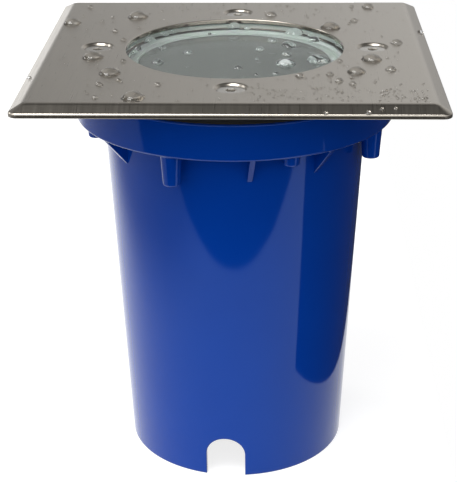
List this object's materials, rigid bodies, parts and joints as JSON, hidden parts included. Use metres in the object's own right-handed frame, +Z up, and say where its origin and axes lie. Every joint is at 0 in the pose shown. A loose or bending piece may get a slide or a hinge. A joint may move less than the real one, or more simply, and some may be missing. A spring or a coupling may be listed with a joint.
{
  "type": "in-ground well light",
  "caption": "Square recessed ground light: a bevelled steel cover with a round glass window over a lamp housing that lifts out of a tapered blue mounting sleeve with a cable notch.",
  "frame": {"origin": "centre of the mounting sleeve's open foot, where it stands", "axes": "+Z up along the sleeve's and the lamp's axis, -Y towards the cable notch"},
  "size_m": [0.11, 0.11, 0.1204],
  "materials": {
    "blue_plastic": "glossy moulded polypropylene",
    "stainless_steel": "finely brushed",
    "screw_steel": "bright machined",
    "clear_glass": "clear tempered",
    "black_rubber": "matt silicone",
    "black_plastic": "fine satin moulding",
    "brass": "machined",
    "pale_plastic": "satin, pale greenish white",
    "grey_diffuser": "satin grey",
    "lamp_aluminium": "satin",
    "lamp_glass": "clear",
    "ceramic": "white steatite",
    "nickel_pins": "nickel plated",
    "zinc_steel": "zinc plated",
    "natural_nylon": "natural nylon",
    "lead_sleeving": "silicone sleeving",
    "black_nylon": "satin nylon"
  },
  "bodies": {
    "sleeve": {"mounting_sleeve": "blue_plastic"},
    "luminaire": {"lamp_housing": "black_plastic", "screw_inserts": "brass", "trim_ring": "pale_plastic", "lamp_diffuser": "grey_diffuser", "lamp_socket": "ceramic", "socket_contacts": "brass", "socket_bracket": "zinc_steel", "bracket_screws": "zinc_steel", "socket_screws": "zinc_steel", "terminal_block": "natural_nylon", "terminal_screws": "brass", "block_screw": "zinc_steel", "lead_wires": "lead_sleeving", "gland_body": "black_nylon", "gland_washer": "black_rubber", "gland_locknut": "black_nylon", "gland_seal": "black_rubber"},
    "cover": {"cover_plate": "stainless_steel", "cover_screws": "screw_steel", "window_glass": "clear_glass", "glass_gasket": "black_rubber"},
    "lamp": {"lamp_reflector": "lamp_aluminium", "lamp_lens": "lamp_glass", "lamp_base": "ceramic", "lamp_pins": "nickel_pins"},
    "gland_cap": {"gland_cap": "black_nylon"}
  },
  "joints": [
    {"name": "luminaire_lift", "type": "slide", "parent": "sleeve", "child": "luminaire", "axis": [0, 0, 1], "range_m": [0, 0.11]},
    {"name": "cover_lift", "type": "slide", "parent": "luminaire", "child": "cover", "axis": [0, 0, 1], "range_m": [0, 0.02]},
    {"name": "lamp_twist", "type": "hinge", "parent": "luminaire", "child": "lamp", "pos_m": [0, 0, 0.0609], "axis": [0, 0, 1], "range_deg": [0, 20]},
    {"name": "gland_cap_turn", "type": "hinge", "parent": "luminaire", "child": "gland_cap", "pos_m": [0, 0, 0.0166], "axis": [0, 0, 1], "continuous": true}
  ]
}
